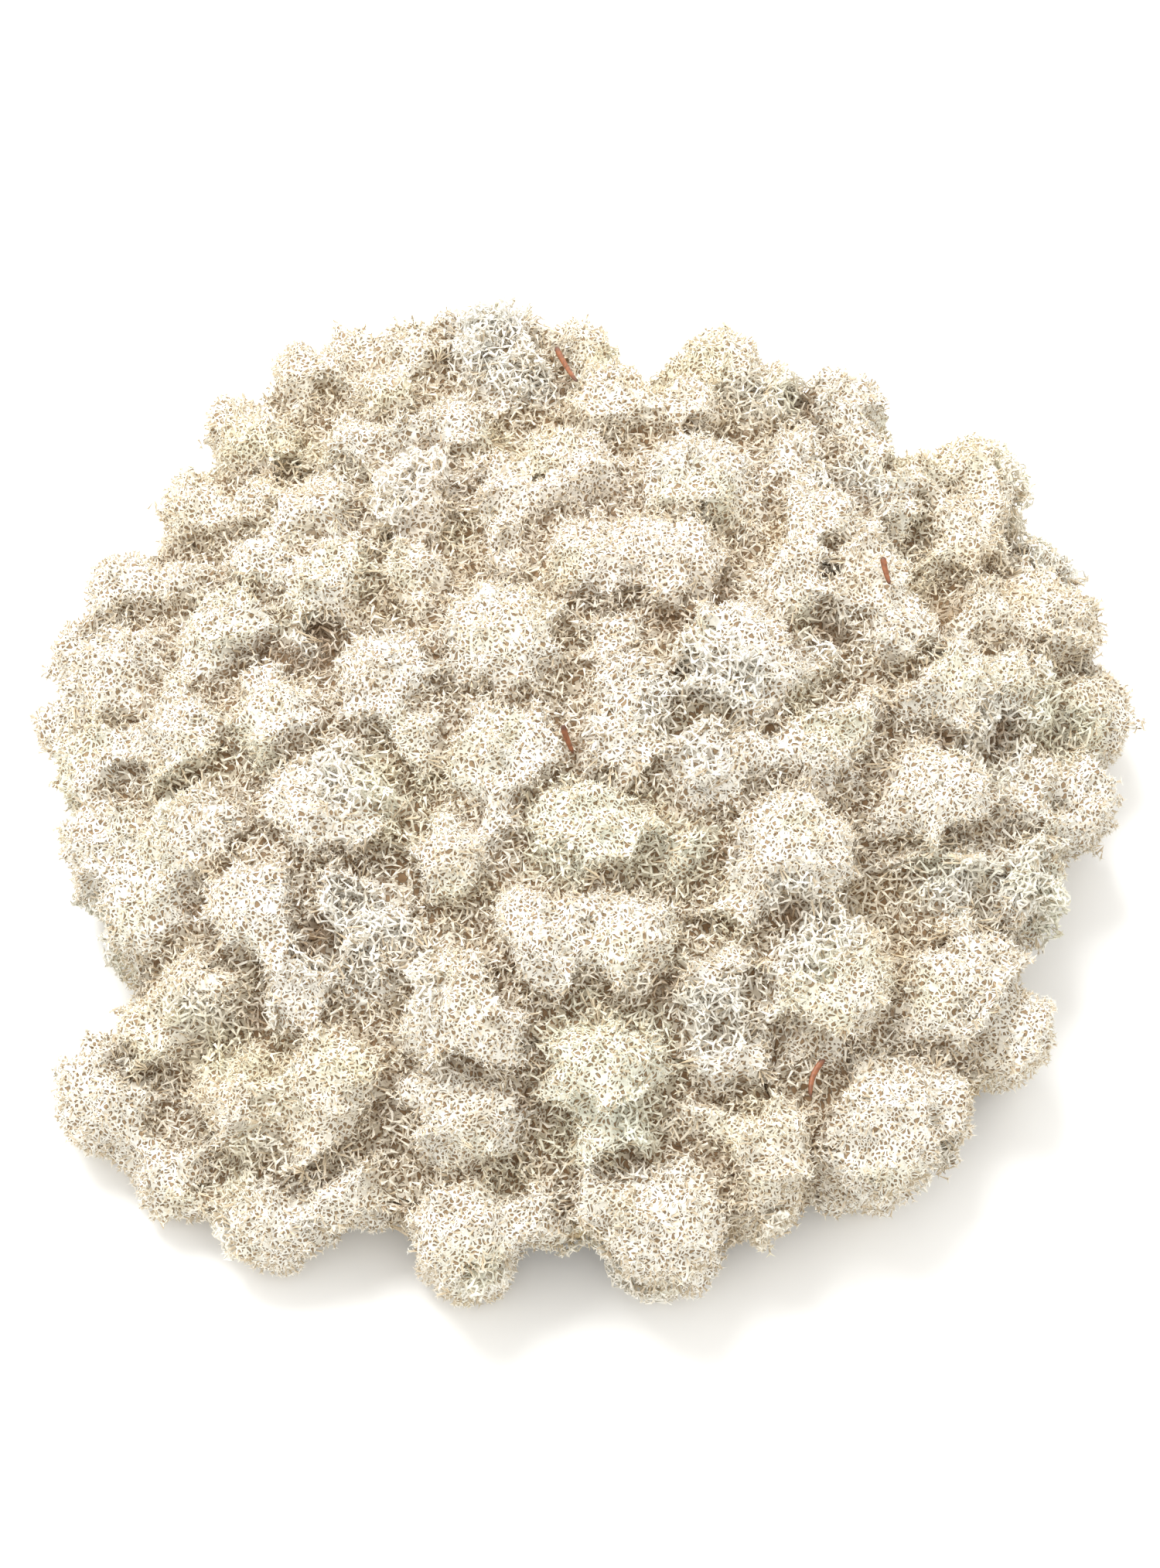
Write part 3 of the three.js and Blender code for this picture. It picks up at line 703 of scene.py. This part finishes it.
        stem = w.vector("SUBTRACT", place, w.named("fork", "FLOAT_VECTOR"))
        most = w.math("MULTIPLY_ADD", w.named("gape"), GAPING_STEM, self.given["Stem Length"])
        tall = w.math("MINIMUM", w.size(stem), most)
        wide = w.math("MULTIPLY", self.given["Tuft Width"], self.random(*TUFT_SIZES, TUFT_SIZE_DRAW))
        shapes = {"Min": 0, "Max": TUFT_SHAPES - 1, "Seed": self.seed(TUFT_SHAPE_DRAW)}
        return w.add("GeometryNodeInstanceOnPoints", {
            "Points": points,
            "Instance": w.add("GeometryNodeCollectionInfo", {
                "Collection": self.given["Tufts"], "Separate Children": True, "Reset Children": True}),
            "Pick Instance": True,
            "Instance Index": w.add("FunctionNodeRandomValue", shapes, data_type="INT"),
            "Rotation": self.towards(stem, self.random(0.0, math.tau, TUFT_TURN_DRAW)),
            "Scale": w.add("ShaderNodeCombineXYZ", {0: wide, 1: wide, 2: tall}),
        })

    def beside(self, value, side):
        """A value at the middle of the face on one side of an edge."""
        w = self.w
        corner = w.add("GeometryNodeCornersOfEdge", {"Sort Index": side}, output="Corner Index")
        face = w.add("GeometryNodeFaceOfCorner", {"Corner Index": corner}, output="Face Index")
        inputs = {"Value": value, "Index": face}
        return w.add("GeometryNodeFieldAtIndex", inputs, data_type="FLOAT_VECTOR", domain="FACE")

    def net(self, skin, depth, least_gape, step):
        """Strands from face to face at a depth under the skin, where the cushion gapes."""
        w, given = self.w, self.given
        hidden = self.compared(w.named("grows"), "LESS_THAN", 0.5)
        cells = w.add("GeometryNodeDeleteGeometry", {"Geometry": skin, "Selection": hidden}, domain="FACE")
        cells = self.moved(w.add("GeometryNodeTriangulate", {"Mesh": cells}), Offset=self.inward(depth))
        strays = {"Min": (-STRAY,) * 3, "Max": (STRAY,) * 3, "Seed": self.seed(step)}
        stray = w.add("FunctionNodeRandomValue", strays, data_type="FLOAT_VECTOR")
        knot = w.vector("ADD", self.place, stray)
        cells = w.store(cells, "tail", self.beside(knot, 0), "FLOAT_VECTOR", "EDGE")
        cells = w.store(cells, "head", self.beside(knot, 1), "FLOAT_VECTOR", "EDGE")
        cells = w.store(cells, "tint", self.random(0.0, 1.0, step + 1), domain="EDGE")
        head, tail = (w.named(name, "FLOAT_VECTOR") for name in ("head", "tail"))
        away = w.vector("SUBTRACT", head, tail)
        lines = w.add("GeometryNodeMeshToPoints", {"Mesh": cells}, mode="EDGES")
        lines = self.moved(lines, Position=head)
        lines = self.without(lines, "LESS_THAN", self.showing(), least_gape)
        lines = self.without(lines, "LESS_THAN", self.random(0.0, 1.0, step + 4), given["Broken Strands"])
        lines = self.without(lines, "LESS_THAN", w.size(away), given["Strand Width"])
        lines = self.without(lines, "GREATER_THAN", w.size(away), given["Strand Length"])
        thick = w.math("MULTIPLY", given["Strand Width"], self.random(*STRAND_SIZES, step + 2))
        return w.add("GeometryNodeInstanceOnPoints", {
            "Points": lines,
            "Instance": w.add("GeometryNodeObjectInfo", {"Object": given["Strand"]}, output="Geometry"),
            "Rotation": self.towards(away, self.random(0.0, math.tau, step + 3)),
            "Scale": w.add("ShaderNodeCombineXYZ", {0: thick, 1: thick, 2: w.size(away)}),
        })

    def core(self, skin):
        """The tangle of stems a little way in from the skin, as thick as its lining lies deep."""
        thick = self.w.math("MULTIPLY", self.w.named("lining"), self.given["Core Thickness"])
        depth = self.w.math("ADD", self.deepened("Core Depth", "Core Sink"), thick)
        return self.w.store(self.moved(skin, Offset=self.inward(depth)), "tangle", 1.0)


def set_inputs(modifier, values):
    """Sets a Geometry Nodes modifier's inputs, which are known to it by their identifiers."""
    sockets = {s.name: s.identifier for s in modifier.node_group.interface.items_tree if s.in_out == "INPUT"}
    for name, value in values.items():
        modifier[sockets[name]] = value


# ---- Materials ----

LICHEN_ROUGHNESS, LICHEN_GLOSS = 0.85, 0.2
YELLOWED, BROWNED = (0.97, 0.985, 0.90), (0.98, 0.94, 0.88)  # the red, green and blue that a stain leaves
YELLOW_STAINS, BROWN_STAINS = 38.0, 47.0  # stains to a metre
YELLOW_CLOUD, BROWN_CLOUD = (0.5, 0.72), (0.56, 0.75)  # where in the noise a stain begins and is in full
STEM_TINT = 0.35  # the most that a tuft's own tint leads it to the stems' colour
STEM_TO_TIP = (0.25, 0.85)  # reach where the stems' colour ends and where the tips' begins

FINE_NET, COARSE_NET = 720.0, 400.0  # cells to a metre
FINE_STRAND, COARSE_STRAND = (0.14, 0.24), (0.16, 0.24)  # from a strand's middle to its side and to the hole
BENDS, BEND_REACH = 300.0, 3 * MM  # bends to a metre in the nets' strands, and how far they swing
HEAD_HOLE, VALLEY_HOLE = 0.8, 0.2  # how dark the holes are on a head, and what a valley adds: partly the brown tangle, partly painted shade
HEAD_STRAND, VALLEY_STRAND = 0.85, -0.5  # how pale the strands are on a head, and what a valley adds, which is painted shade
VALLEY_STEM = 0.3  # how much of the stems' colour the branches take in a valley, as painted shade
NET_RELIEF = 0.6 * MM

POCKET_SHADE = 0.75  # how much of the heart's colour a pocket takes, as painted shade
SHADED_AIR = (0.7, 0.2)  # air where a place is out of its neighbours' shade and where it is deep in it
SHADED_STEM = 0.4  # how much of the stems' colour it takes there
WARM_AIR = (0.97, 0.5)  # the same for the light that has passed from branch to branch
WARMTH = (1.0, 0.91, 0.74)  # what that leaves of its red, green and blue
HEART_AIR = (0.0, 0.14)  # air where all is as dark as the heart, and where nothing is: painted shade in enclosed crevices, partly the real brown heart

STREAKS, STREAK_DETAIL, STREAK_CLOUD = 900.0, 4.0, (0.35, 0.7)  # streaks to a metre in a needle's bark
STREAK_SHADE = 0.55  # how much of the bark's colour a streak keeps
BURNT_ENDS = (0.30, 0.5)  # from a needle's middle to where it darkens and is burnt, as shares of its length
NEEDLE_ROUGHNESS, FLOOR_ROUGHNESS = 0.5, 0.9
FLOOR_CLOUDS, FLOOR_SHADE = 3.0, 0.985  # clouds to a metre, and how much of the floor's colour they keep


def new_material(name, roughness):
    material = bpy.data.materials.new(name)
    material.use_nodes = True
    shader = material.node_tree.nodes["Principled BSDF"]
    shader.inputs["Roughness"].default_value = roughness
    return material, Wiring(material.node_tree), shader


def opaque(rgb):
    return (*rgb, 1.0)


def tinted(rgb, shares):
    return opaque([channel * share for channel, share in zip(rgb, shares)])


def attribute(w, name):
    return w.add("ShaderNodeAttribute", output="Fac", attribute_name=name)


def noise(w, scale, detail=2.0):
    place = w.add("ShaderNodeTexCoord", output="Object")
    return w.add("ShaderNodeTexNoise", {"Vector": place, "Scale": scale, "Detail": detail}, output="Fac")


def from_strand(w, place, cells):
    """The distance from the nearest strand of a net, in cells of that net."""
    inputs = {"Vector": place, "Scale": cells}
    return w.add("ShaderNodeTexVoronoi", inputs, output="Distance", feature="DISTANCE_TO_EDGE")


def net_hole(w, opened):
    """From 0 on a strand to 1 in a hole of a fine net, or of a coarse one where the place is opened."""
    place = w.add("ShaderNodeTexCoord", output="Object")
    bends = {"Vector": place, "Scale": BENDS, "Detail": SOFT_NOISE}
    swing = w.vector("SCALE", w.add("ShaderNodeTexNoise", bends, output="Color"), BEND_REACH)
    bent = w.vector("ADD", place, swing)
    fine = w.ramp(from_strand(w, bent, FINE_NET), *FINE_STRAND)
    coarse = w.ramp(from_strand(w, bent, COARSE_NET), *COARSE_STRAND)
    return w.math("MAXIMUM", fine, w.math("MULTIPLY", coarse, opened))


def lichen_material(name, tip):
    """Pale tips over buff stems and a brown heart, a finer net in the tangle's colour and relief, and painted
    shade in the valleys, pockets, holes and places with little air.
    """
    colours = bpy.context.scene.lichen_colours
    stem, heart = opaque(colours.stem), opaque(colours.heart)
    material, w, shader = new_material(name, LICHEN_ROUGHNESS)
    shader.inputs["Specular IOR Level"].default_value = LICHEN_GLOSS
    names = ("reach", "air", "tint", "tangle", "gape", "valley", "pocket")
    reach, air, tint, tangle, gape, valley, pocket = (attribute(w, name) for name in names)

    patchy = w.mix(w.ramp(noise(w, YELLOW_STAINS), *YELLOW_CLOUD), opaque(tip), tinted(tip, YELLOWED))
    patchy = w.mix(w.ramp(noise(w, BROWN_STAINS), *BROWN_CLOUD), patchy, tinted(tip, BROWNED))
    mottled = w.mix(w.math("MULTIPLY", tint, STEM_TINT), patchy, stem)
    grown = w.mix(w.ramp(reach, *STEM_TO_TIP), stem, mottled)
    # Painted shade: the branches darken towards the stems' colour in the valleys between heads.
    branches = w.mix(w.math("MULTIPLY", valley, VALLEY_STEM), grown, stem)

    hole = net_hole(w, w.math("MAXIMUM", gape, valley))
    # The holes darken towards the heart: partly the brown tangle seen through them, partly painted shade in
    # the holes, deeper in the valleys and where a cushion gapes.
    depth = w.math("MAXIMUM", gape, w.math("MULTIPLY_ADD", valley, VALLEY_HOLE, HEAD_HOLE))
    # Painted shade: the strands are paler on the heads than in the valleys.
    strands = w.mix(w.math("MULTIPLY_ADD", valley, VALLEY_STRAND, HEAD_STRAND), stem, patchy)
    woven = w.mix(hole, strands, w.mix(depth, stem, heart))

    whole = w.mix(tangle, branches, woven)
    # Painted shade: dark pockets in the valleys take the heart's colour.
    pocket_shaded = w.mix(w.math("MULTIPLY", pocket, POCKET_SHADE), whole, heart)
    brown = w.mix(w.math("MULTIPLY", w.ramp(air, *SHADED_AIR), SHADED_STEM), pocket_shaded, stem)
    warm = w.mix(w.ramp(air, *WARM_AIR), brown, opaque(WARMTH), "MULTIPLY")
    # Painted shade: places with little air, deep in the crevices, darken to the heart's colour, partly the
    # real dead heart.
    w.tree.links.new(w.mix(w.ramp(air, *HEART_AIR), heart, warm), shader.inputs["Base Color"])

    relief = w.math("MULTIPLY", hole, w.math("MULTIPLY", tangle, -1.0))
    bump = w.add("ShaderNodeBump", {"Strength": 1.0, "Distance": NET_RELIEF, "Height": relief})
    w.tree.links.new(bump, shader.inputs["Normal"])
    return material


def needle_material():
    """Red-brown with fine streaks, and burnt at both ends."""
    settings = bpy.context.scene.pine_needles
    material, w, shader = new_material("pine_needle", NEEDLE_ROUGHNESS)
    streak = w.ramp(noise(w, STREAKS, STREAK_DETAIL), *STREAK_CLOUD)
    streaks = w.mix(streak, opaque(settings.bark), tinted(settings.bark, (STREAK_SHADE,) * 3))
    outwards = w.math("ABSOLUTE", w.math("SUBTRACT", attribute(w, "along"), 0.5))
    ends = w.mix(w.ramp(outwards, *BURNT_ENDS), streaks, opaque(settings.dark))
    w.tree.links.new(ends, shader.inputs["Base Color"])
    return material


def floor_material():
    material, w, shader = new_material("pale_floor", FLOOR_ROUGHNESS)
    rgb = bpy.context.scene.lichen_stage.floor
    cloudy = w.mix(noise(w, FLOOR_CLOUDS), opaque(rgb), tinted(rgb, (FLOOR_SHADE,) * 3))
    w.tree.links.new(cloudy, shader.inputs["Base Color"])
    return material


# ---- Cushions ----

# Attributes that no material reads
TREE_ONLY = ("fork", "mouth", "head", "tail", "outward", "grows", "relief", "inside", "lining")


def slot_of(node):
    return next(part["material_slot"] for part in frame["record"]["subparts"] if part["node"] == node)


@functools.lru_cache(maxsize=None)
def shade(slot):
    """The material of a record slot such as lichen_cream."""
    return lichen_material(slot, getattr(bpy.context.scene.lichen_colours, slot.removeprefix("lichen_")))


@functools.lru_cache(maxsize=None)
def cushion_tree():
    return CushionTree().tree


def tuft_collection():
    tufts = bpy.data.collections.new("tufts")
    for index in range(TUFT_SHAPES):
        tufts.objects.link(bpy.data.objects.new(f"tuft_{index}", tuft_mesh(index)))
    bpy.context.scene.collection.children.link(tufts)
    return tufts


def grow_cushion(node, gape, shapes):
    """Grows one cushion on its skin and leaves it as a plain mesh."""
    settings = bpy.context.scene.lichen_growth
    maker = put_object(node + "_maker", skins()[node])
    growth = maker.modifiers.new("Growth", "NODES")
    growth.node_group = cushion_tree()
    slot = slot_of(node)
    set_inputs(growth, {
        **shapes,
        "Gape": gape,
        **{titled(name): getattr(settings, name) for name in TAKEN},
        "Seed": settings.seed + int(node[-2:]),
        "Material": shade(slot),
    })
    mesh = evaluated_mesh(maker)
    maker.modifiers.clear()
    bpy.data.objects.remove(maker)
    for name in TREE_ONLY:
        if name in mesh.attributes:
            mesh.attributes.remove(mesh.attributes[name])
    piece = put_object("lichen_" + node, mesh)
    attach(piece, "root")
    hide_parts(node)


def grow_cushions(nodes, gape):
    tufts = tuft_collection()
    strand = put_object("strand", strand_mesh())
    for node in nodes:
        grow_cushion(node, gape, {"Tufts": tufts, "Strand": strand})
    discard(strand, *tufts.objects)
    bpy.data.collections.remove(tufts)


class LICHEN_OT_cushions(Operator):
    """Grow the cushions whose tips still close over their stems"""

    bl_idname = "lichen.cushions"
    bl_label = "Grow closed cushions"

    def execute(self, context):
        closed = [node for node in skins() if node not in OPEN_CUSHIONS]
        grow_cushions(closed, context.scene.lichen_growth.gape)
        return {"FINISHED"}


class LICHEN_OT_open_cushions(Operator):
    """Grow the cushions that have opened up, with their stems in view"""

    bl_idname = "lichen.open_cushions"
    bl_label = "Grow open cushions"

    def execute(self, context):
        grow_cushions(OPEN_CUSHIONS, context.scene.lichen_growth.open_gape)
        return {"FINISHED"}


# ---- Needles ----

END_STRETCH = 0.2 * MM  # how much of a solid's end is measured for its width
END_SIZE = 0.35  # of a needle's very end, as a share of its width
BLUNTNESS = 8  # the higher, the nearer to its ends a needle keeps its width
GROOVE_SHARPNESS = 3


def needle_mesh(node, settings):
    """A curved half-round needle with a groove along its flat side, on the line of its CAD solid."""
    corners = positions(frame["nodes"][node].data).astype(float)
    middle = corners.mean(axis=0)
    axes = np.linalg.svd(corners - middle, full_matrices=False)[2]
    local = (corners - middle) @ axes.T
    low, high = local[:, 0].min(), local[:, 0].max()
    bow = np.polyfit(local[:, 0], local[:, 1], 2)
    first, last = (np.ptp(local[np.abs(local[:, 0] - end) < END_STRETCH][:, 1]) / 2 for end in (low, high))
    thick = np.ptp(local[:, 2]) / 2
    points, along, faces = [], [], []
    for ring in range(settings.rings + 1):
        t = ring / settings.rings
        x = low + (high - low) * t
        narrow = math.sqrt(1 - (2 * t - 1) ** BLUNTNESS) if 0 < ring < settings.rings else END_SIZE
        half = (first * (1 - t) + last * t) * narrow
        for side in range(settings.sides):
            turn = 2 * math.pi * side / settings.sides
            groove = settings.groove * max(0.0, math.sin(turn)) ** GROOVE_SHARPNESS
            y = np.polyval(bow, x) + half * math.cos(turn)
            z = thick * narrow * math.sin(turn) * (1 - 2 * groove)
            points.append(middle + np.array([x, y, z]) @ axes)
            along.append(t)
    for ring in range(settings.rings):
        for side in range(settings.sides):
            here, after = ring * settings.sides + side, ring * settings.sides + (side + 1) % settings.sides
            faces.append((here, here + settings.sides, after + settings.sides, after))
    faces += [tuple(range(settings.sides)), tuple(range(len(points) - settings.sides, len(points)))[::-1]]
    mesh = bpy.data.meshes.new(node + "_grown")
    mesh.from_pydata([tuple(p) for p in points], [], faces)
    write_attribute(mesh, "along", along)
    solid = bmesh.new()
    solid.from_mesh(mesh)
    bmesh.ops.recalc_face_normals(solid, faces=solid.faces)
    solid.to_mesh(mesh)
    solid.free()
    mesh.shade_smooth()
    return mesh


class LICHEN_OT_needles(Operator):
    """Lay the stray pine needles on the tips"""

    bl_idname = "lichen.needles"
    bl_label = "Lay pine needles"

    def execute(self, context):
        material = needle_material()
        for node in sorted(frame["nodes"]):
            if not node.startswith("needle"):
                continue
            mesh = needle_mesh(node, context.scene.pine_needles)
            mesh.materials.append(material)
            piece = put_object("pine_" + node, mesh)
            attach(piece, "root")
            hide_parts(node)
        return {"FINISHED"}


# ---- Stage ----

AIM = Vector((-2.36, -0.39, 33.0)) * MM  # what the camera looks at
PIXEL = 0.209 * MM  # width of a pixel there
PICTURE_HEIGHT = 2028
SENSOR = 36.0
NEAREST, FARTHEST = 0.01, 50  # metres from the camera that it still sees
KEY_PLACE, KEY_SIZE = Vector((-0.4, 0.6, 1.35)), 0.8
SKY_COLOUR = (1, 0.99, 0.97, 1)


def aim_at(thing, place, target):
    thing.location = place
    thing.rotation_euler = (target - place).to_track_quat("-Z", "Y").to_euler()


def add_camera(settings):
    data = bpy.data.cameras.new("camera")
    data.sensor_width = SENSOR
    data.lens = settings.distance / (PIXEL * PICTURE_HEIGHT) * SENSOR
    data.clip_start, data.clip_end = NEAREST, FARTHEST
    camera = put_object("camera", data)
    back = Vector((0, -math.cos(settings.elevation), math.sin(settings.elevation)))
    aim_at(camera, AIM + back * settings.distance, AIM)
    bpy.context.scene.camera = camera


def add_key_light(power):
    data = bpy.data.lights.new("key", "AREA")
    data.shape, data.size, data.energy = "DISK", KEY_SIZE, power
    aim_at(put_object("key", data), KEY_PLACE, AIM)


def add_world(strength):
    world = bpy.data.worlds.new("studio")
    bpy.context.scene.world = world
    world.use_nodes = True
    surroundings = world.node_tree.nodes["Background"]
    surroundings.inputs["Color"].default_value = SKY_COLOUR
    surroundings.inputs["Strength"].default_value = strength


def add_floor(settings):
    half = settings.floor_size / 2
    mesh = bpy.data.meshes.new("floor")
    corners = [(-half, -half, 0), (half, -half, 0), (half, half, 0), (-half, half, 0)]
    mesh.from_pydata(corners, [], [(0, 1, 2, 3)])
    mesh.materials.append(floor_material())
    put_object("floor", mesh)


class LICHEN_OT_stage(Operator):
    """Add the pale floor, the soft studio light and the camera"""

    bl_idname = "lichen.stage"
    bl_label = "Add stage"

    def execute(self, context):
        settings = context.scene.lichen_stage
        add_camera(settings)
        add_floor(settings)
        add_world(settings.fill)
        add_key_light(settings.key)
        context.scene.view_settings.view_transform = "Standard"
        return {"FINISHED"}


# ---- Sidebar and registration ----

GROUPS = {
    "lichen_growth": (LichenGrowth, "Growth"),
    "lichen_colours": (LichenColours, "Lichen colours"),
    "pine_needles": (NeedleSettings, "Pine needles"),
    "lichen_stage": (StageSettings, "Stage"),
}
OPERATORS = (LICHEN_OT_cushions, LICHEN_OT_open_cushions, LICHEN_OT_needles, LICHEN_OT_stage)


class LICHEN_PT_sidebar(Panel):
    """Lists the pieces and their settings"""

    bl_idname = "LICHEN_PT_sidebar"
    bl_label = "Reindeer lichen"
    bl_space_type = "VIEW_3D"
    bl_region_type = "UI"
    bl_category = "Lichen"

    def draw(self, context):
        for operator in OPERATORS:
            self.layout.operator(operator.bl_idname)
        for attribute_name, (group, title) in GROUPS.items():
            box = self.layout.box()
            box.label(text=title)
            for name in group.__annotations__:
                box.prop(getattr(context.scene, attribute_name), name)


CLASSES = (*(group for group, _ in GROUPS.values()), *OPERATORS, LICHEN_PT_sidebar)


def register():
    for cls in CLASSES:
        bpy.utils.register_class(cls)
    for attribute_name, (group, _) in GROUPS.items():
        setattr(bpy.types.Scene, attribute_name, PointerProperty(type=group))


def unregister():
    for attribute_name in GROUPS:
        delattr(bpy.types.Scene, attribute_name)
    for cls in reversed(CLASSES):
        bpy.utils.unregister_class(cls)


def main():
    register()
    bpy.ops.lichen.cushions()
    bpy.ops.lichen.open_cushions()
    bpy.ops.lichen.needles()
    bpy.ops.lichen.stage()


if __name__ == "__main__":
    main()
